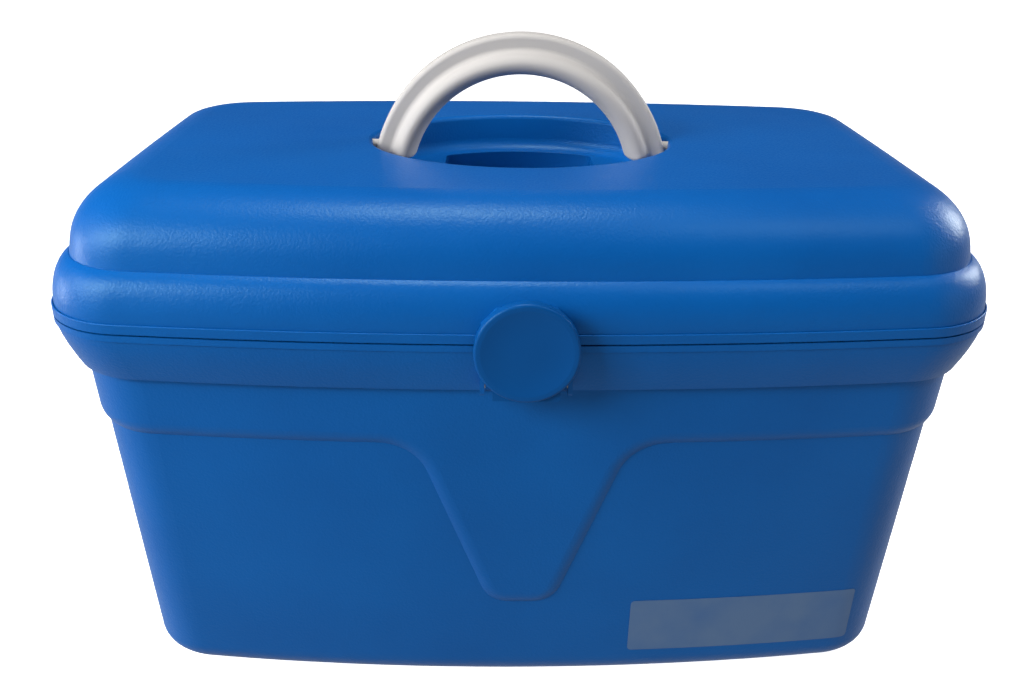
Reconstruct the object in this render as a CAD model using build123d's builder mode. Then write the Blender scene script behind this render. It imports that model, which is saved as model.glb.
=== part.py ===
from build123d import *

import os
from math import cos, radians, sin, sqrt, tan

# A hard carry case for a manicure kit: a bowed, drafted tub with a hinged lid, a carry handle
# that folds into an oval pocket of the lid, a round latch at the front and a lift-out tray.
# Millimetres, +Z up, front towards -Y. The origin is the middle of the footprint, on the floor.

# The case as a whole
case_width = 330.0  # across the widest line, half way along the sides
case_depth = 209.0  # from the middle of the front to the middle of the back
front_bow = 10.2  # how far the front and the back swell out between their corners
side_bow = 0.6  # the same for the two sides
corner_radius = 33.0  # in plan, at the widest line
corner_share = 0.5  # share of a level's inset that its corner radius gives up
wall = 2.4
seam_gap = 0.6  # between the lid's edge and the base's rim
fitting_reach = 8.4  # how far the latch and the hinge stand out past the case
cut_overrun = 6.0

# Base: insets are measured in from the case's widest line, drops down from the seam
base_height = 154.5
foot_inset = 16.1  # foot of the wall
foot_round = 12.0
foot_ring_width = 14.0  # the ring that the case stands on
foot_recess = 0.8  # the middle of the floor stands clear of the ground by this much
panel_inset = 10.4  # top of the flat lower panels
band_drop = 42.0  # lower line of the raised band
apron_step = 1.7  # how far the band and its apron stand out from the panels
shoulder_round = 8.0  # soft edge of the band and the apron
apron_drop = 113.6  # lowest point of the apron
apron_top_width = 74.6  # between the apron's two slanting sides, at the band's lower line
apron_foot_width = 22.4  # the same, at the apron's lowest line
apron_foot_radius = 11.0
apron_fillet = 15.0  # where the band's lower line turns into the apron
crease_drop = 18.6  # under the flare
crease_inset = 5.3
rim_height = 2.2  # the rim stands at the widest line
rim_ledge = 0.45  # how far the rim stands out from the flare below it
flare_power = 1.4
ledge_drop = 17.0  # the shelf inside that carries the tray
tongue_gap = 0.5  # between the tongue on the rim and the inside of the lid
tongue_thickness = 1.3
tongue_height = 2.6

# Lid
lid_height = 43.6  # seam to the flat top
lip_height = 3.6  # the lip is the widest line of the case
bulge_inset = 0.7  # foot of the swelling band above the lip
groove_height = 19.8  # the line between the lid's two tiers
groove_inset = 6.8
groove_step = 0.4  # the upper tier starts this much further in
bulge_turn = 78.0  # degrees that the swelling turns through between lip and groove
tier_lean = 9.4  # degrees that the upper wall leans in
tier_round = 22.7

# Handle and its pocket
handle_radius = 59.0  # outside of the arch
handle_drop = 15.5  # the arch's centre lies this far under the pivots
pivot_drop = 2.7  # pivots under the lid's top
grip_width = 19.0  # the round grip, front to back
grip_depth = 10.0  # the same, along the arch's radius
web_width = 9.0  # the flat rib on the outside of the grip
web_depth = 5.6  # how far that rib stands out from the grip
web_fillet = 2.0
toe_drop = 4.2  # the legs end this far under the pivots
toe_fillet = 2.2
stub_diameter = 4.0  # the legs spring in for the stubs to enter their bearings
stub_length = 4.2  # past the side of the pocket
pocket_gap = 1.1  # in front of the folded handle
pocket_end_gap = 1.9  # beside its legs
pocket_depth = 14.5
pocket_draft = 4.0  # degrees
pocket_floor_fillet = 5.0
pocket_lip_fillet = 1.8
bay_width = 62.0  # the deeper bay for fingers in the middle of the pocket's floor
bay_depth = 9.5
bay_margin = 6.0  # the strip of floor left in front of the bay and behind it
bay_corner_radius = 4.0
bearing_gap = 0.1
bearing_wall = 2.0  # plastic round the bearing

# Latch
latch_radius = 17.2
latch_rise = 0.8  # its middle above the seam
latch_thickness = 3.4
latch_dish = 0.9
latch_dish_floor = 5.0  # radius of the flat in the middle of the dish
latch_edge_round = 1.1
latch_axis_drop = 13.5
latch_axis_reach = 0.4  # the pin's axis in front of the case's widest line
latch_barrel_radius = 3.0
latch_arm_width = 22.0
latch_collar_radius = 2.2  # keeps the arm in the middle between the lugs
latch_pin_diameter = 2.5
lug_span = 30.4  # outside of the two lugs
lug_thickness = 1.5
lug_front = 2.4  # in front of the pin's axis
lug_rise = 5.0  # above the axis
lug_fall = 3.4  # below it
lug_fillet = 1.5
keeper_width = 29.6
keeper_height = 12.8  # above the seam
keeper_top_width = 19.6
keeper_shoulder = 7.8  # above the seam, where the keeper starts to narrow
keeper_gap = 0.4  # behind the latch
finger_width = 6.0
finger_height = 5.0
finger_depth = 2.4
finger_rise = 4.5  # above the seam
finger_gap = 0.5

# Hinge
hinge_spacing = 170.0
hinge_length = 36.0
hinge_radius = 4.0
hinge_pin_diameter = 3.0
hinge_lid_share = 0.5  # share of the hinge's length that the lid's knuckle takes
hinge_gap = 0.4
hinge_web_drop = 13.0  # how far down the base its webs reach
hinge_web_rise = 15.0  # how far up the lid its web reaches
pin_gap = 0.08  # all round a pin

# Tray
tray_gap = 0.8  # all round
tray_seat_gap = 0.3
tray_flange = 2.0
tray_depth = 32.0
tray_wall = 1.8
tray_foot_round = 4.0
tray_front_width = 58.0  # the long bay for files and brushes
tray_bays = 4  # bays behind it
tab_width = 46.0
tab_height = 11.0
tab_fillet = 5.0
tab_thickness = 2.2

# Heights and depths that several pieces share
seam_z = base_height
band_z = seam_z - band_drop
crease_z = seam_z - crease_drop
ledge_z = seam_z - ledge_drop
lid_z = seam_z + seam_gap
top_z = seam_z + lid_height
pivot_z = top_z - pivot_drop
half_width = case_width / 2
half_depth = case_depth / 2


def outline(z, inset):
    """The case seen from above at one height: four bowed sides and round corners."""
    x = half_width - inset
    y = half_depth - inset
    corner_x = x - side_bow
    corner_y = y - front_bow
    with BuildSketch(Plane.XY.offset(z)) as level:
        with BuildLine():
            ThreePointArc((-corner_x, -corner_y), (0, -y), (corner_x, -corner_y))
            ThreePointArc((corner_x, -corner_y), (x, 0), (corner_x, corner_y))
            ThreePointArc((corner_x, corner_y), (0, y), (-corner_x, corner_y))
            ThreePointArc((-corner_x, corner_y), (-x, 0), (-corner_x, -corner_y))
        make_face()
        fillet(level.vertices(), corner_radius - corner_share * inset)
    return level.sketch


def panel_line(z):
    """Inset of the drafted lower panels, carried on up to any height."""
    return panel_inset + (foot_inset - panel_inset) * (band_z - z) / (band_z - foot_round)


def foot_levels(skin):
    """The rounded foot of the base, outside or one skin further in, from the floor up."""
    radius = foot_round - skin
    levels = []
    for turn_share in (0, 1 / 3, 2 / 3, 1):
        turn = radians(90) * turn_share
        inset = foot_inset + foot_round - radius * sin(turn)
        levels.append(outline(foot_round - radius * cos(turn), inset))
    return levels


def flare_inset(way_share):
    """How far in the flare is, at a share of the way from the rim down to the crease."""
    return rim_ledge + (crease_inset - rim_ledge) * way_share**flare_power


def flare_levels():
    """The flare under the rim, from the rim down to the crease."""
    levels = []
    for way_share in (0, 0.25, 0.5, 0.75, 1):
        drop = rim_height + (crease_drop - rim_height) * way_share
        levels.append(outline(seam_z - drop, flare_inset(way_share)))
    return levels


def bulge_levels(skin):
    """The swelling band of the lid, from its lip up to the groove."""
    foot_z = seam_z + lip_height
    crown_z = seam_z + groove_height
    levels = []
    for turn_share in (0, 0.25, 0.5, 0.75, 1):
        turn = radians(bulge_turn) * turn_share
        rise_share = sin(turn) / sin(radians(bulge_turn))
        inset_share = (1 - cos(turn)) / (1 - cos(radians(bulge_turn)))
        inset = bulge_inset + (groove_inset - bulge_inset) * inset_share
        levels.append(outline(foot_z + (crown_z - foot_z) * rise_share, inset + skin))
    return levels


def tier_levels(skin):
    """The upper tier of the lid: a leaning wall that rounds over into the flat top."""
    lean = radians(tier_lean)
    foot_z = seam_z + groove_height
    foot = groove_inset + groove_step + skin
    radius = tier_round - skin
    arc_z = top_z - tier_round + tier_round * sin(lean)
    arc_inset = groove_inset + groove_step + (arc_z - foot_z) * tan(lean)
    centre_inset = arc_inset + tier_round * cos(lean)
    levels = [outline(foot_z, foot)]
    for turn_share in (0, 0.2, 0.4, 0.6, 0.8, 1):
        turn = lean + (radians(90) - lean) * turn_share
        z = top_z - tier_round + radius * sin(turn)
        levels.append(outline(z, centre_inset - radius * cos(turn)))
    return levels


# The raised band round the base, with the apron that hangs from its middle at the front. Its
# soft edge is rounded on the solid band, so that where the panels cut across the round, one step
# down, the edge ends in a crisp line. The outline is drawn outside that line to allow for it.
edge_reach = shoulder_round - sqrt(shoulder_round**2 - (shoulder_round - apron_step) ** 2)
apron_foot_z = seam_z - apron_drop - edge_reach
apron_edge_z = band_z - edge_reach
apron_half_top = apron_top_width / 2 + edge_reach
apron_half_foot = apron_foot_width / 2 + edge_reach
apron_foot_round = apron_foot_radius + edge_reach
band_side = case_width

with BuildPart() as band:
    band_foot_z = apron_foot_z - cut_overrun
    loft(
        [
            outline(band_foot_z, panel_line(band_foot_z) - apron_step),
            outline(crease_z, panel_line(crease_z) - apron_step),
        ],
        ruled=True,
    )
    with BuildSketch(Plane.XZ) as below_front:
        with BuildLine():
            edge = FilletPolyline(
                (-band_side, apron_edge_z),
                (-apron_half_top, apron_edge_z),
                (-apron_half_foot, apron_foot_z),
                (apron_half_foot, apron_foot_z),
                (apron_half_top, apron_edge_z),
                (band_side, apron_edge_z),
                radius=[apron_fillet, apron_foot_round, apron_foot_round, apron_fillet],
            )
            Polyline(
                edge @ 1,
                (band_side, band_foot_z - cut_overrun),
                (-band_side, band_foot_z - cut_overrun),
                edge @ 0,
            )
        make_face()
    extrude(amount=case_depth, mode=Mode.SUBTRACT)
    with BuildSketch(Plane.XZ) as below_back:
        with Locations((0, (apron_edge_z + band_foot_z - cut_overrun) / 2)):
            Rectangle(2 * band_side, apron_edge_z - band_foot_z + cut_overrun)
    extrude(amount=-case_depth, mode=Mode.SUBTRACT)
    skin = band.faces().filter_by(GeomType.BSPLINE)
    cuts = band.faces().filter_by(GeomType.BSPLINE, reverse=True).sort_by(Axis.Z)[:-1]
    soft_edges = ShapeList(skin.edges() & cuts.edges())
    fillet(soft_edges.sort_by(Axis.Z).sort_by(Axis.X), shoulder_round)


# The hinge: two stations at the back, where a knuckle of the lid turns between two of the base
hinge_y = half_depth + fitting_reach - hinge_radius
hinge_root_y = half_depth - front_bow - wall
hinge_corner = hinge_radius * sin(radians(45))
lid_knuckle = hinge_length * hinge_lid_share
base_knuckle = (hinge_length - lid_knuckle) / 2 - hinge_gap
base_knuckle_offset = (hinge_length - base_knuckle) / 2
hinge_sides = (-hinge_spacing / 2, hinge_spacing / 2)
hinge_bore = hinge_pin_diameter / 2 + pin_gap


def knuckle(x, length, reach):
    """A knuckle of the hinge on its web, which runs up (or with a minus, down) the wall."""
    corner_z = seam_z + (hinge_corner if reach > 0 else -hinge_corner)
    with BuildPart() as piece:
        with BuildSketch(Plane.YZ.offset(x - length / 2)):
            with Locations((hinge_y, seam_z)):
                Circle(hinge_radius)
            with BuildLine():
                Polyline(
                    (hinge_y - hinge_radius, seam_z),
                    (hinge_y + hinge_corner, corner_z),
                    (hinge_root_y, seam_z + reach),
                    (hinge_root_y, seam_z + reach / 2),
                    close=True,
                )
            make_face()
        extrude(amount=length)
    return piece.part


# Latch places that the base, the lid and the latch share
latch_z = seam_z + latch_rise
latch_front_y = -half_depth - fitting_reach
latch_back_y = latch_front_y + latch_thickness
latch_axis_y = -half_depth - latch_axis_reach
latch_axis_z = seam_z - latch_axis_drop
latch_bore = latch_pin_diameter / 2 + pin_gap
lug_inside = lug_span / 2 - lug_thickness
lug_root_y = -half_depth + crease_inset + wall
keeper_y = latch_back_y + keeper_gap
keeper_length = -half_depth + groove_inset + wall - keeper_y
finger_z = seam_z + finger_rise
tongue_inset = bulge_inset + wall + tongue_gap
ledge_share = (ledge_drop - rim_height) / (crease_drop - rim_height)

# Base: the outside first, then the fittings on it, then the hollow, which trims their roots
with BuildPart() as base:
    loft(foot_levels(0))
    loft([outline(foot_round, foot_inset), outline(crease_z, panel_line(crease_z))], ruled=True)
    add(band.part)
    loft(flare_levels())
    extrude(outline(seam_z - rim_height, 0), amount=rim_height)
    extrude(outline(seam_z, tongue_inset), amount=tongue_height)
    for side in (-1, 1):
        with BuildSketch(Plane.YZ.offset(side * (lug_span - lug_thickness) / 2)) as lug:
            with BuildLine():
                Polyline(
                    (latch_axis_y - lug_front, latch_axis_z + lug_rise),
                    (lug_root_y, latch_axis_z + lug_rise),
                    (lug_root_y, latch_axis_z - lug_fall),
                    (latch_axis_y - lug_front, latch_axis_z - lug_fall),
                    close=True,
                )
            make_face()
            fillet(lug.vertices().group_by(Axis.X)[0], lug_fillet)
        extrude(amount=lug_thickness / 2, both=True)
    for x in hinge_sides:
        for offset_x in (-base_knuckle_offset, base_knuckle_offset):
            add(knuckle(x + offset_x, base_knuckle, -hinge_web_drop))
    loft(foot_levels(wall), mode=Mode.SUBTRACT)
    loft(
        [outline(foot_round, foot_inset + wall), outline(ledge_z, panel_line(ledge_z) + wall)],
        ruled=True,
        mode=Mode.SUBTRACT,
    )
    loft(
        [
            outline(ledge_z, flare_inset(ledge_share) + wall),
            outline(seam_z + tongue_height, tongue_inset + tongue_thickness),
        ],
        ruled=True,
        mode=Mode.SUBTRACT,
    )
    extrude(outline(0, foot_inset + foot_round + foot_ring_width), amount=foot_recess, mode=Mode.SUBTRACT)
    with Locations((0, latch_axis_y, latch_axis_z)):
        Cylinder(latch_bore, lug_span + cut_overrun, rotation=(0, 90, 0), mode=Mode.SUBTRACT)
    with Locations([(x, hinge_y, seam_z) for x in hinge_sides]):
        Cylinder(hinge_bore, hinge_length + cut_overrun, rotation=(0, 90, 0), mode=Mode.SUBTRACT)

# The oval pocket that the handle folds into, and the bowl under the lid that forms it
handle_reach = handle_radius - handle_drop
leg_x = sqrt(handle_radius**2 - handle_drop**2)
pocket_x = leg_x + pocket_end_gap
pocket_y = handle_reach + pocket_gap
pocket_taper = pocket_depth * tan(radians(pocket_draft))


def oval_cup(skin):
    """The pocket's space, or with a skin the plastic round it: an oval cup with a round foot."""
    with BuildPart() as cup:
        with BuildSketch(Plane.XY.offset(top_z - pocket_depth - skin)):
            Ellipse(pocket_x - pocket_taper + skin, pocket_y - pocket_taper + skin)
        with BuildSketch(Plane.XY.offset(top_z - skin / 2)):
            Ellipse(pocket_x + skin, pocket_y + skin)
        loft()
        fillet(cup.faces().sort_by(Axis.Z)[0].edges(), pocket_floor_fillet + skin)
    return cup.part


def finger_bay(skin, height):
    """The bay in the pocket's floor, or with a skin the plastic round it, up to a height."""
    edge = skin - pocket_taper - bay_margin
    with BuildPart() as bay:
        with BuildSketch(Plane.XY.offset(top_z - pocket_depth - bay_depth - skin)) as plan:
            Ellipse(pocket_x + edge, pocket_y + edge)
            Rectangle(bay_width + 2 * skin, 2 * pocket_y, mode=Mode.INTERSECT)
            fillet(plan.vertices(), bay_corner_radius + skin)
        extrude(amount=height)
    return bay.part


# Lid: two tiers, then its fittings, then the hollow, then the pocket with its two bearings
bearing_radius = stub_diameter / 2 + bearing_gap
bearing_depth = stub_length + bearing_gap

with BuildPart() as lid:
    extrude(outline(lid_z, 0), amount=lip_height - seam_gap)
    loft(bulge_levels(0))
    loft(tier_levels(0))
    with BuildSketch(Plane.XZ.offset(-keeper_y)):
        with BuildLine():
            Polyline(
                (-keeper_width / 2, lid_z),
                (-keeper_width / 2, seam_z + keeper_shoulder),
                (-keeper_top_width / 2, seam_z + keeper_height),
                (keeper_top_width / 2, seam_z + keeper_height),
                (keeper_width / 2, seam_z + keeper_shoulder),
                (keeper_width / 2, lid_z),
                close=True,
            )
        make_face()
    extrude(amount=-keeper_length)
    for x in hinge_sides:
        add(knuckle(x, lid_knuckle, hinge_web_rise))
    extrude(outline(lid_z, bulge_inset + wall), amount=lip_height - seam_gap, mode=Mode.SUBTRACT)
    loft(bulge_levels(wall), mode=Mode.SUBTRACT)
    loft(tier_levels(wall), mode=Mode.SUBTRACT)

    add(oval_cup(wall))
    add(finger_bay(wall, bay_depth + wall / 2))
    for side in (-1, 1):
        with BuildSketch(Plane.YZ.offset(side * (pocket_x - wall))):
            with Locations((0, pivot_z)):
                Circle(bearing_radius + bearing_wall)
            with Locations((0, top_z - wall / 2)):
                Rectangle(case_width, case_width, align=(Align.CENTER, Align.MIN), mode=Mode.SUBTRACT)
        extrude(amount=side * (bearing_depth + bearing_wall + wall))
    add(oval_cup(0), mode=Mode.SUBTRACT)
    add(finger_bay(0, bay_depth + wall / 2), mode=Mode.SUBTRACT)
    fillet(lid.faces().filter_by(Plane.XY).sort_by(Axis.Z)[-1].inner_wires().edges(), pocket_lip_fillet)
    for side in (-1, 1):
        with BuildSketch(Plane.YZ.offset(side * (pocket_x - pocket_taper - wall))):
            with Locations((0, pivot_z)):
                Circle(bearing_radius)
        extrude(amount=side * (pocket_taper + wall + bearing_depth), mode=Mode.SUBTRACT)
    with Locations((0, keeper_y, finger_z + finger_height + finger_gap)):
        Box(
            finger_width + 2 * finger_gap,
            2 * (finger_depth + finger_gap),
            finger_height + finger_rise + finger_gap,
            align=(Align.CENTER, Align.CENTER, Align.MAX),
            mode=Mode.SUBTRACT,
        )
    with Locations([(x, hinge_y, seam_z) for x in hinge_sides]):
        Cylinder(hinge_bore, hinge_length, rotation=(0, 90, 0), mode=Mode.SUBTRACT)

# Handle: a round grip with a flat rib along its outside, bent into an arch, on two stubs
arch_z = pivot_z - handle_drop
arch_axis = Axis((0, 0, arch_z), (0, -1, 0))
grip_radius = handle_radius - web_depth - grip_depth / 2

with BuildPart() as handle:
    with BuildSketch(Plane.XY.offset(arch_z)) as section:
        with Locations((grip_radius, 0)):
            Ellipse(grip_depth / 2, grip_width / 2)
        with Locations((handle_radius, 0)):
            Rectangle(web_depth + grip_depth / 2, web_width, align=(Align.MAX, Align.CENTER))
        fillet(section.vertices().sort_by(Axis.X)[-4:], web_fillet)
    revolve(axis=arch_axis, revolution_arc=180)
    split(bisect_by=Plane.XY.offset(pivot_z - toe_drop), keep=Keep.TOP)
    fillet(handle.faces().sort_by(Axis.Z)[:2].edges(), toe_fillet)
    for side in (-1, 1):
        with BuildSketch(Plane.YZ.offset(side * (leg_x - grip_depth / 2))):
            with Locations((0, pivot_z)):
                Circle(stub_diameter / 2)
        extrude(amount=side * (pocket_x + stub_length - leg_x + grip_depth / 2))

# Latch: a dished disc on an arm that turns on the pin between the lugs, with a catch finger
with BuildPart() as latch:
    with BuildSketch(Plane.XY.offset(latch_z)) as disc:
        with BuildLine():
            dish = TangentArc(
                (latch_dish_floor, latch_front_y + latch_dish),
                (latch_radius - 2 * latch_edge_round, latch_front_y),
                tangent=(1, 0),
            )
            Polyline(
                dish @ 1,
                (latch_radius, latch_front_y),
                (latch_radius, latch_back_y),
                (0, latch_back_y),
                (0, latch_front_y + latch_dish),
                dish @ 0,
            )
        make_face()
        fillet(disc.vertices().group_by(Axis.X)[-1].sort_by(Axis.Y)[0], latch_edge_round)
    revolve(axis=Axis((0, 0, latch_z), (0, 1, 0)))
    with BuildSketch(Plane.YZ):
        with Locations((latch_axis_y, latch_axis_z)):
            Circle(latch_barrel_radius)
        with Locations((latch_axis_y, latch_axis_z)):
            Rectangle(
                latch_axis_y - latch_back_y + latch_thickness / 2,
                2 * latch_barrel_radius,
                align=(Align.MAX, Align.CENTER),
            )
    extrude(amount=latch_arm_width / 2, both=True)
    with Locations((0, latch_axis_y, latch_axis_z)):
        Cylinder(latch_collar_radius, 2 * (lug_inside - hinge_gap), rotation=(0, 90, 0))
        Cylinder(latch_bore, lug_span, rotation=(0, 90, 0), mode=Mode.SUBTRACT)
    with Locations((0, latch_back_y, finger_z)):
        Box(
            finger_width,
            keeper_gap + finger_depth,
            finger_height,
            align=(Align.CENTER, Align.MIN, Align.MIN),
        )

with BuildPart() as latch_pin:
    with Locations((0, latch_axis_y, latch_axis_z)):
        Cylinder(latch_pin_diameter / 2, lug_span, rotation=(0, 90, 0))

hinge_pins = []
for x in hinge_sides:
    with BuildPart() as hinge_pin:
        with Locations((x, hinge_y, seam_z)):
            Cylinder(hinge_pin_diameter / 2, hinge_length, rotation=(0, 90, 0))
    hinge_pins.append(hinge_pin)

# Tray: hangs by its flange from the shelf inside the base
flange_z = ledge_z + tray_seat_gap
tray_top_z = flange_z + tray_flange
tray_foot_z = tray_top_z - tray_depth
tray_arc_z = tray_foot_z + tray_foot_round
flange_inset = flare_inset(ledge_share) + wall + tray_gap


def tray_inset(z, skin):
    """Inset of the tray's wall, which follows the inside of the base."""
    return panel_line(z) + wall + tray_gap + skin


def tray_levels(skin):
    """The tray's tub, outside or one skin further in, from its foot up."""
    radius = tray_foot_round - skin
    levels = []
    for turn_share in (0, 0.5, 1):
        turn = radians(90) * turn_share
        inset = tray_inset(tray_arc_z, tray_foot_round) - radius * sin(turn)
        levels.append(outline(tray_arc_z - radius * cos(turn), inset))
    return levels


with BuildPart() as tray_dividers:
    front_edge_y = -half_depth + tray_inset(tray_top_z, tray_wall)
    divider_y = front_edge_y + tray_front_width
    divider_back_y = -front_edge_y
    divider_height = tray_depth - tray_flange
    with Locations((0, divider_y, tray_foot_z + tray_wall / 2)):
        Box(case_width, tray_wall, divider_height, align=(Align.CENTER, Align.MIN, Align.MIN))
    bay_pitch = (case_width - 2 * tray_inset(tray_top_z, tray_wall)) / tray_bays
    with Locations((0, (divider_y + divider_back_y) / 2, tray_foot_z + tray_wall / 2)):
        with GridLocations(bay_pitch, 0, tray_bays - 1, 1):
            Box(
                tray_wall,
                divider_back_y - divider_y,
                divider_height,
                align=(Align.CENTER, Align.CENTER, Align.MIN),
            )
    loft(
        [
            outline(tray_foot_z, tray_inset(tray_foot_z, tray_wall / 2)),
            outline(tray_top_z, tray_inset(tray_top_z, tray_wall / 2)),
        ],
        ruled=True,
        mode=Mode.INTERSECT,
    )

tab_x = half_width - tray_inset(tray_top_z, tray_wall / 2)

with BuildPart() as tray:
    loft(tray_levels(0))
    loft(
        [outline(tray_arc_z, tray_inset(tray_arc_z, 0)), outline(tray_top_z, tray_inset(tray_top_z, 0))],
        ruled=True,
    )
    extrude(outline(flange_z, flange_inset), amount=tray_flange)
    for side in (-1, 1):
        with BuildSketch(Plane.YZ.offset(side * tab_x)) as tab:
            with Locations((0, tray_top_z - tray_flange / 2)):
                Rectangle(tab_width, tab_height + tray_flange / 2, align=(Align.CENTER, Align.MIN))
            fillet(tab.vertices().group_by(Axis.Y)[-1], tab_fillet)
        extrude(amount=side * tab_thickness)
    loft(tray_levels(tray_wall), mode=Mode.SUBTRACT)
    loft(
        [
            outline(tray_arc_z, tray_inset(tray_arc_z, tray_wall)),
            outline(tray_top_z, tray_inset(tray_top_z, tray_wall)),
        ],
        ruled=True,
        mode=Mode.SUBTRACT,
    )
    add(tray_dividers.part)

pieces = {
    "base": base,
    "lid": lid,
    "handle": handle,
    "latch": latch,
    "latch_pin": latch_pin,
    "hinge_pin_left": hinge_pins[0],
    "hinge_pin_right": hinge_pins[1],
    "tray": tray,
}

os.makedirs("parts", exist_ok=True)
for name, piece in pieces.items():
    piece.part.label = name
    export_step(piece.part, f"parts/{name}.step")
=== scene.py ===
import math

import bmesh
import bpy
from mathutils import Matrix, Vector


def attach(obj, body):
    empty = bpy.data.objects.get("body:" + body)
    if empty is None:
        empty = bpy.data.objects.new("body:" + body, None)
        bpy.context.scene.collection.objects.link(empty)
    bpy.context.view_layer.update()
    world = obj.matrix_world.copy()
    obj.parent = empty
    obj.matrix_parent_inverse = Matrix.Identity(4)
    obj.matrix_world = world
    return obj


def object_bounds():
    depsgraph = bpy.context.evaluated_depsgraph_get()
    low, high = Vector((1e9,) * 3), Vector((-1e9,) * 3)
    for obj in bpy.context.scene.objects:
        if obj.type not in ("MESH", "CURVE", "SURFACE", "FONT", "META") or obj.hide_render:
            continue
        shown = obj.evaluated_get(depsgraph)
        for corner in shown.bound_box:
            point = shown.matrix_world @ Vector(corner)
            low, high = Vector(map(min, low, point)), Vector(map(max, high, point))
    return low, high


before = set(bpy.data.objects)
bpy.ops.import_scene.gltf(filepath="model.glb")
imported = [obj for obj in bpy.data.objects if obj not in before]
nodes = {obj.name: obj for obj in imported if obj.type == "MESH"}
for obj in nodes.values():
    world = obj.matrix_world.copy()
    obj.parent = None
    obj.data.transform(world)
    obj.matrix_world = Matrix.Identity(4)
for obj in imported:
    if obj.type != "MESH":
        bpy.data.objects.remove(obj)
cad_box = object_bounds()

# Base: the tub of the case, injection moulded in mid blue polypropylene with a fine satin grain
# from the mould. The band round its top and the funnel-shaped apron below the latch are part of
# the same moulding, and its floor stands on a flat ring.
BLUE = (0.0014, 0.086, 0.325)
BLUE_SHADE = (0.0010, 0.073, 0.287)
BLUE_GLINT = (0.54, 0.97, 1.0)
CLOUD_SCALE = 14.0
CLOUD_STOPS = (0.32, 0.68)
GRAIN_STOPS = (0.3, 0.7)
POLISHED = -0.04
DULLED = 0.05
RIPPLE_SCALE = 38.0
RIPPLE_DEPTH = 0.00018


def new_finish(name):
    """A new material, with its nodes, its shader and the place that its patterns are read from."""
    material = bpy.data.materials.new(name)
    material.use_nodes = True
    tree = material.node_tree
    place = tree.nodes.new("ShaderNodeTexCoord").outputs["Object"]
    return material, tree, tree.nodes["Principled BSDF"], place


def noise(tree, place, scale, detail):
    """A random pattern, from 0 to 1."""
    pattern = tree.nodes.new("ShaderNodeTexNoise")
    pattern.inputs["Scale"].default_value = scale
    pattern.inputs["Detail"].default_value = detail
    tree.links.new(place, pattern.inputs["Vector"])
    return pattern.outputs["Fac"]


def blend_colours(tree, pattern, stops, colours, target):
    """Colours a socket: one colour up to the first stop, the other past the second, a blend between."""
    ramp = tree.nodes.new("ShaderNodeValToRGB")
    for element, stop, colour in zip(ramp.color_ramp.elements, stops, colours):
        element.position = stop
        element.color = (*colour, 1.0)
    tree.links.new(pattern, ramp.inputs["Fac"])
    tree.links.new(ramp.outputs["Color"], target)


def spread(tree, pattern, stops, limits, target):
    """Takes a socket from one limit to the other as the pattern goes from one stop to the other."""
    span = tree.nodes.new("ShaderNodeMapRange")
    span.inputs["From Min"].default_value = stops[0]
    span.inputs["From Max"].default_value = stops[1]
    span.inputs["To Min"].default_value = limits[0]
    span.inputs["To Max"].default_value = limits[1]
    tree.links.new(pattern, span.inputs["Value"])
    tree.links.new(span.outputs["Result"], target)


def relief(tree, pattern, depth, target):
    """Raises the surface by the pattern, and gives back the socket for a relief underneath."""
    bump = tree.nodes.new("ShaderNodeBump")
    bump.inputs["Strength"].default_value = 1.0
    bump.inputs["Distance"].default_value = depth
    tree.links.new(pattern, bump.inputs["Height"])
    tree.links.new(bump.outputs["Normal"], target)
    return bump.inputs["Normal"]


def moulded_plastic(name, colour, shade, glint, roughness, grain_scale, grain_depth, gloss):
    """Satin moulded plastic: slow cloudiness in the colour, a fine grain and a slight unevenness."""
    material, tree, shader, place = new_finish(name)
    shader.inputs["Specular IOR Level"].default_value = gloss
    shader.inputs["Specular Tint"].default_value = (*glint, 1.0)
    cloud = noise(tree, place, CLOUD_SCALE, detail=4.0)
    blend_colours(tree, cloud, CLOUD_STOPS, (shade, colour), shader.inputs["Base Color"])
    grain = noise(tree, place, grain_scale, detail=2.0)
    limits = (roughness + POLISHED, roughness + DULLED)
    spread(tree, grain, GRAIN_STOPS, limits, shader.inputs["Roughness"])
    under_grain = relief(tree, grain, grain_depth, shader.inputs["Normal"])
    ripple = noise(tree, place, RIPPLE_SCALE, detail=1.0)
    relief(tree, ripple, RIPPLE_DEPTH, under_grain)
    return material


def finish_node(name, material):
    """Gives a CAD node its finish."""
    node = nodes[name]
    node.data.materials.clear()
    node.data.materials.append(material)


blue_plastic = moulded_plastic(
    "blue_satin_plastic",
    BLUE,
    BLUE_SHADE,
    BLUE_GLINT,
    roughness=0.36,
    grain_scale=1100.0,
    grain_depth=0.00011,
    gloss=0.20,
)
finish_node("base", blue_plastic)

# Lid: the same blue moulding in two tiers, hinged at the back, with an oval pocket sunk into its
# top for the handle. It came off the same press as the base and has the same satin grain.
finish_node("lid", blue_plastic)

# Lip bead: the fine bead that runs along the upper edge of the lid's lip, moulded in one with the
# lid. It catches the light as a thin line above the seam, all the way round the case.
LIP_TOP = 0.1581
LIP_EDGE_ANGLE = math.radians(60)
BEAD_RADIUS = 0.00032
BEAD_INSET = 0.00034
BEAD_CUTS = 2
PLACE_ERROR = 0.00001
bpy.ops.object.select_all(action="DESELECT")
bead = bpy.data.objects.new("lip_bead", nodes["lid"].data.copy())
bpy.context.scene.collection.objects.link(bead)
bpy.context.view_layer.objects.active = bead
bead.select_set(True)
bead.data.materials.clear()
bpy.ops.object.mode_set(mode="EDIT")
bpy.ops.mesh.select_mode(type="VERT")
bpy.ops.mesh.select_all(action="SELECT")
bpy.ops.mesh.remove_doubles(threshold=PLACE_ERROR)
bpy.ops.mesh.select_all(action="DESELECT")
shape = bmesh.from_edit_mesh(bead.data)
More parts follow.
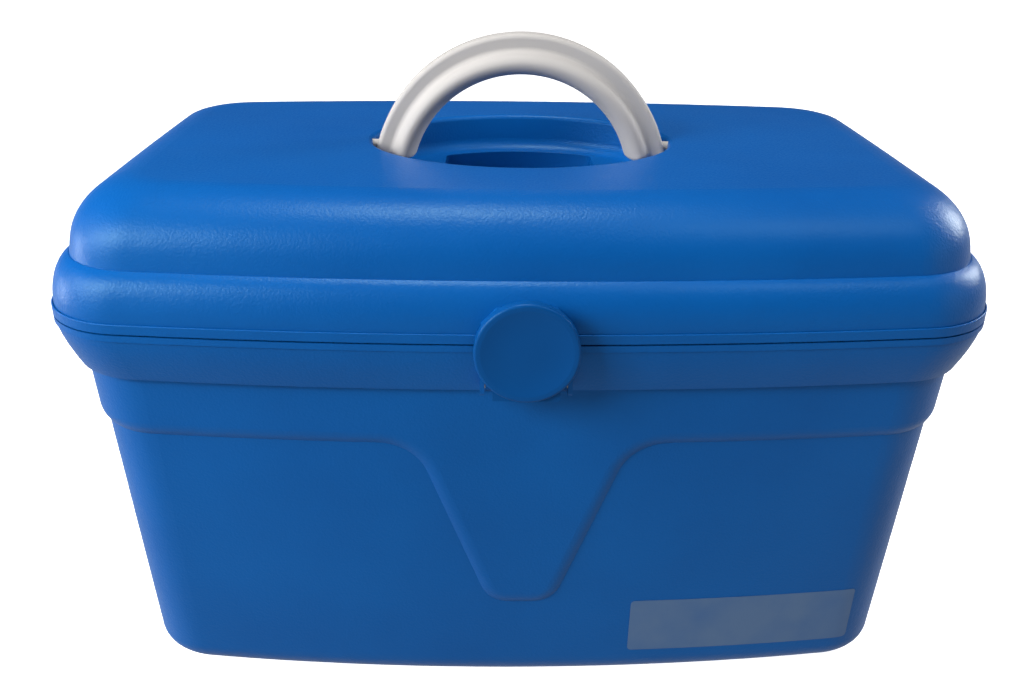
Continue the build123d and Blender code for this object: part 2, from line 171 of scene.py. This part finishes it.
for edge in shape.edges:
    on_lip = all(abs(corner.co.z - LIP_TOP) < PLACE_ERROR for corner in edge.verts)
    if on_lip and edge.is_convex and edge.calc_face_angle() > LIP_EDGE_ANGLE:
        edge.select = True
bmesh.update_edit_mesh(bead.data)
bpy.ops.mesh.select_all(action="INVERT")
bpy.ops.mesh.delete(type="VERT")
bpy.ops.mesh.select_all(action="SELECT")
shrink = [1.0 - BEAD_INSET / reach for reach in (cad_box[1][0], cad_box[1][1])]
bpy.ops.transform.resize(value=(*shrink, 1.0), center_override=(0.0, 0.0, 0.0))
bpy.ops.object.mode_set(mode="OBJECT")
bpy.ops.object.convert(target="CURVE")
bead.data.bevel_depth = BEAD_RADIUS
bead.data.bevel_resolution = BEAD_CUTS
bead.data.use_fill_caps = True
bpy.ops.object.convert(target="MESH")
bpy.ops.object.shade_smooth()
bead.data.materials.append(blue_plastic)
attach(bead, "lid")

# Handle: a round grip with a flat rib along its outside, moulded in light warm grey plastic. Its
# two stubs snap into bearings in the ends of the pocket.
GREY = (0.44, 0.423, 0.408)
GREY_SHADE = (0.405, 0.388, 0.374)
GREY_GLINT = (1.0, 1.0, 1.0)
grey_plastic = moulded_plastic(
    "grey_handle_plastic",
    GREY,
    GREY_SHADE,
    GREY_GLINT,
    roughness=0.55,
    grain_scale=1300.0,
    grain_depth=0.00002,
    gloss=0.2,
)
finish_node("handle", grey_plastic)

# Latch: a dished disc in the blue of the case, which turns on a steel pin between two lugs of the
# base and hooks a small finger into the keeper on the lid.
# The latch's two blues are the case's blue made darker, as painted shade of its dished face, and a little
# more teal, as the latch's own tint.
LATCH_BLUE_WITH_PAINTED_SHADE = (0.0012, 0.064, 0.242)
LATCH_CLOUD_WITH_PAINTED_SHADE = (0.0009, 0.055, 0.217)
latch_plastic = moulded_plastic(
    "blue_latch_plastic_with_painted_shade",
    LATCH_BLUE_WITH_PAINTED_SHADE,
    LATCH_CLOUD_WITH_PAINTED_SHADE,
    BLUE_GLINT,
    roughness=0.36,
    grain_scale=1700.0,
    grain_depth=0.00002,
    gloss=0.15,
)
finish_node("latch", latch_plastic)

# Tray: a shallow light grey moulding that hangs on the shelf inside the base by its flange and
# lifts out by its two end tabs.
TRAY_GREY = (0.62, 0.61, 0.595)
TRAY_SHADE = (0.57, 0.56, 0.55)
tray_plastic = moulded_plastic(
    "grey_tray_plastic",
    TRAY_GREY,
    TRAY_SHADE,
    GREY_GLINT,
    roughness=0.5,
    grain_scale=1100.0,
    grain_depth=0.00004,
    gloss=0.3,
)
finish_node("tray", tray_plastic)

# Pins: cut lengths of drawn steel wire, driven through the knuckles of the two hinges and the
# lugs of the latch. Drawing leaves fine lines along them.
STEEL = (0.34, 0.35, 0.36)
STEEL_SHADE = (0.25, 0.26, 0.27)
STEEL_ROUGHNESS = (0.22, 0.42)
LINE_STRETCH = (0.02, 1.0, 1.0)
LINE_SCALE = 4000.0
WHOLE_PATTERN = (0.0, 1.0)
pin_steel, tree, shader, place = new_finish("drawn_steel_wire")
shader.inputs["Metallic"].default_value = 1.0
stretch = tree.nodes.new("ShaderNodeMapping")
stretch.inputs["Scale"].default_value = LINE_STRETCH
tree.links.new(place, stretch.inputs["Vector"])
lines = noise(tree, stretch.outputs["Vector"], LINE_SCALE, detail=3.0)
blend_colours(tree, lines, WHOLE_PATTERN, (STEEL_SHADE, STEEL), shader.inputs["Base Color"])
spread(tree, lines, WHOLE_PATTERN, STEEL_ROUGHNESS, shader.inputs["Roughness"])
for name in ("latch_pin", "hinge_pin_left", "hinge_pin_right"):
    finish_node(name, pin_steel)

# Label: a strip of thin greyish film with round corners, stuck to the lower right of the front,
# so that it follows the bow of the panel. The blue shows through it unevenly.
LABEL_LEFT = 0.0428
LABEL_RIGHT = 0.1326
LABEL_FOOT = 0.0147
LABEL_TOP = 0.0398
LABEL_CORNER = 0.0016
CORNER_REACH = LABEL_CORNER / 4
CORNER_CUTS = 4
CUTS_ALONG = 40
CUTS_UP = 12
CLEAR_OF_CASE = 1.2
FILM_THICKNESS = 0.00012
FILM_LIFT = FILM_THICKNESS / 3
FILM_EDGE_ANGLE = math.radians(40)
FILM = (0.072, 0.140, 0.270)
FILM_THIN = (0.048, 0.118, 0.268)
FILM_STOPS = (0.3, 0.62)
FILM_ROUGHNESS = (0.26, 0.46)
FILM_GLOSS = 0.3
PATCH_SCALE = 55.0
CRINKLE_DEPTH = 0.0001
label_middle = (LABEL_LEFT + LABEL_RIGHT) / 2, cad_box[0][1] * CLEAR_OF_CASE, (LABEL_FOOT + LABEL_TOP) / 2
bpy.ops.object.select_all(action="DESELECT")
bpy.ops.mesh.primitive_grid_add(
    x_subdivisions=CUTS_ALONG,
    y_subdivisions=CUTS_UP,
    size=1.0,
    location=label_middle,
    rotation=(math.radians(90), 0.0, 0.0),
)
label = bpy.context.object
label.name = "label"
label.scale = (LABEL_RIGHT - LABEL_LEFT, LABEL_TOP - LABEL_FOOT, 1.0)
bpy.ops.object.transform_apply(location=True, rotation=True, scale=True)
bpy.ops.object.mode_set(mode="EDIT")
bpy.ops.mesh.select_all(action="DESELECT")
bpy.ops.object.mode_set(mode="OBJECT")
for corner in label.data.vertices:
    at_end = min(abs(corner.co.x - LABEL_LEFT), abs(corner.co.x - LABEL_RIGHT)) < CORNER_REACH
    at_edge = min(abs(corner.co.z - LABEL_FOOT), abs(corner.co.z - LABEL_TOP)) < CORNER_REACH
    corner.select = at_end and at_edge
bpy.ops.object.mode_set(mode="EDIT")
bpy.ops.mesh.select_mode(type="VERT")
bpy.ops.mesh.bevel(affect="VERTICES", offset=LABEL_CORNER, segments=CORNER_CUTS)
bpy.ops.object.mode_set(mode="OBJECT")
stick = label.modifiers.new("stick", "SHRINKWRAP")
stick.target = nodes["base"]
stick.wrap_method = "PROJECT"
stick.use_project_y = True
stick.use_positive_direction = True
stick.use_negative_direction = False
stick.offset = FILM_LIFT
bpy.ops.object.modifier_apply(modifier="stick")
thicken = label.modifiers.new("thicken", "SOLIDIFY")
thicken.thickness = FILM_THICKNESS
thicken.offset = 1.0
bpy.ops.object.modifier_apply(modifier="thicken")
bpy.ops.object.shade_smooth_by_angle(angle=FILM_EDGE_ANGLE)
film, tree, shader, place = new_finish("grey_label_film")
shader.inputs["Specular IOR Level"].default_value = FILM_GLOSS
patches = noise(tree, place, PATCH_SCALE, detail=5.0)
blend_colours(tree, patches, FILM_STOPS, (FILM_THIN, FILM), shader.inputs["Base Color"])
spread(tree, patches, WHOLE_PATTERN, FILM_ROUGHNESS, shader.inputs["Roughness"])
relief(tree, patches, CRINKLE_DEPTH, shader.inputs["Normal"])
label.data.materials.append(film)
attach(label, "base")

# Floor and light: white paper on a light table, with more of it hung round the table. The room takes
# up the glow from below. A soft box hangs over the lid, the key stands at the front left, and low
# boxes at both sides catch the round corners. The paper itself is kept out of the reflections.
PAPER = (0.88, 0.88, 0.88, 1.0)
PAPER_GLOW = 1.15
PAPER_ROUGHNESS = 0.9
FLOOR_SIZE = 8.0
BACKDROP_RADIUS = 3.9
BACKDROP_HEIGHT = 5.0
BACKDROP_SIDES = 96
GLOW_FROM_BELOW = (0.63, 0.63, 0.63, 1.0)
DIM_WALLS = (0.03, 0.03, 0.03, 1.0)
DIM_CEILING = (0.07, 0.07, 0.07, 1.0)
GLOW_END = 0.42
WALL_HEIGHT = 0.58
CEILING_START = 0.9
LAMP_AIM = Vector((0.0, 0.0, 0.16))
paper = bpy.data.materials.new("pale_paper")
paper.use_nodes = True
shader = paper.node_tree.nodes["Principled BSDF"]
shader.inputs["Base Color"].default_value = PAPER
shader.inputs["Roughness"].default_value = PAPER_ROUGHNESS
shader.inputs["Emission Color"].default_value = PAPER
shader.inputs["Emission Strength"].default_value = PAPER_GLOW
bpy.ops.object.select_all(action="DESELECT")
bpy.ops.mesh.primitive_plane_add(size=FLOOR_SIZE, location=(0.0, 0.0, 0.0))
floor = bpy.context.object
floor.name = "floor"
bpy.ops.mesh.primitive_cylinder_add(
    vertices=BACKDROP_SIDES,
    radius=BACKDROP_RADIUS,
    depth=BACKDROP_HEIGHT,
    end_fill_type="NOTHING",
    location=(0.0, 0.0, BACKDROP_HEIGHT / 2),
)
backdrop = bpy.context.object
backdrop.name = "backdrop"
backdrop.visible_shadow = False
for sheet in (floor, backdrop):
    sheet.visible_diffuse = False
    sheet.visible_glossy = False
    sheet.data.materials.append(paper)

world = bpy.data.worlds.new("studio")
bpy.context.scene.world = world
world.use_nodes = True
tree = world.node_tree
direction = tree.nodes.new("ShaderNodeTexCoord")
parts = tree.nodes.new("ShaderNodeSeparateXYZ")
tree.links.new(direction.outputs["Generated"], parts.inputs["Vector"])
height = tree.nodes.new("ShaderNodeMapRange")
height.inputs["From Min"].default_value = -1.0
tree.links.new(parts.outputs["Z"], height.inputs["Value"])
room = tree.nodes.new("ShaderNodeValToRGB")
room.color_ramp.elements[0].position = GLOW_END
room.color_ramp.elements[0].color = GLOW_FROM_BELOW
room.color_ramp.elements[1].position = CEILING_START
room.color_ramp.elements[1].color = DIM_CEILING
walls = room.color_ramp.elements.new(WALL_HEIGHT)
walls.color = DIM_WALLS
tree.links.new(height.outputs["Result"], room.inputs["Fac"])
tree.links.new(room.outputs["Color"], tree.nodes["Background"].inputs["Color"])


def soft_box(name, place, size, power, mirrored=True):
    """A square soft light, turned towards the middle of the case, and mirrored in its gloss or not."""
    lamp = bpy.data.lights.new(name, "AREA")
    lamp.shape = "SQUARE"
    lamp.size = size
    lamp.energy = power
    holder = bpy.data.objects.new(name, lamp)
    bpy.context.scene.collection.objects.link(holder)
    holder.visible_glossy = mirrored
    holder.location = place
    holder.rotation_euler = (LAMP_AIM - Vector(place)).to_track_quat("-Z", "Y").to_euler()


soft_box("overhead_light", place=(-0.10, -0.05, 1.20), size=0.30, power=7.0)
soft_box("upper_right_light", place=(0.45, -0.45, 1.00), size=0.40, power=2.2)
soft_box("key_light", place=(-0.85, -0.75, 0.75), size=0.50, power=11.5)
soft_box("left_light", place=(-1.30, 0.20, 0.40), size=0.45, power=8.0, mirrored=False)
soft_box("left_glint_light", place=(-1.30, 0.20, 0.10), size=0.30, power=2.6)
soft_box("front_left_light", place=(-1.00, -0.40, 0.50), size=0.50, power=7.0)
soft_box("right_light", place=(1.50, 0.60, 0.70), size=0.60, power=19.0)
soft_box("front_right_light", place=(1.00, -0.50, 0.40), size=0.50, power=1.0)

# Camera: where the photograph was taken from, above the front edge of the case and close to it,
# looking down and a little to the right.
CAMERA_PLACE = Vector((-0.01138, -0.40197, 0.29038))
PITCH = math.radians(24.71)
YAW = math.radians(1.59)
ROLL = math.radians(0.88)
FOCAL_PIXELS = 1011.8
PHOTO_WIDTH = 1034.0
SENSOR_WIDTH = 36.0
NEAREST_SEEN = 0.01
forward = Vector((math.sin(YAW) * math.cos(PITCH), math.cos(YAW) * math.cos(PITCH), -math.sin(PITCH)))
level = Vector((math.cos(YAW), -math.sin(YAW), 0.0))
below = forward.cross(level)
across = level * math.cos(ROLL) - below * math.sin(ROLL)
up = -(below * math.cos(ROLL) + level * math.sin(ROLL))
lens = bpy.data.cameras.new("photo_camera")
lens.sensor_fit = "HORIZONTAL"
lens.sensor_width = SENSOR_WIDTH
lens.lens = SENSOR_WIDTH * FOCAL_PIXELS / PHOTO_WIDTH
lens.clip_start = NEAREST_SEEN
camera = bpy.data.objects.new("photo_camera", lens)
bpy.context.scene.collection.objects.link(camera)
turn = Matrix((across, up, -forward)).transposed().to_4x4()
camera.matrix_world = Matrix.Translation(CAMERA_PLACE) @ turn
bpy.context.scene.camera = camera
bpy.context.scene.view_settings.view_transform = "Standard"
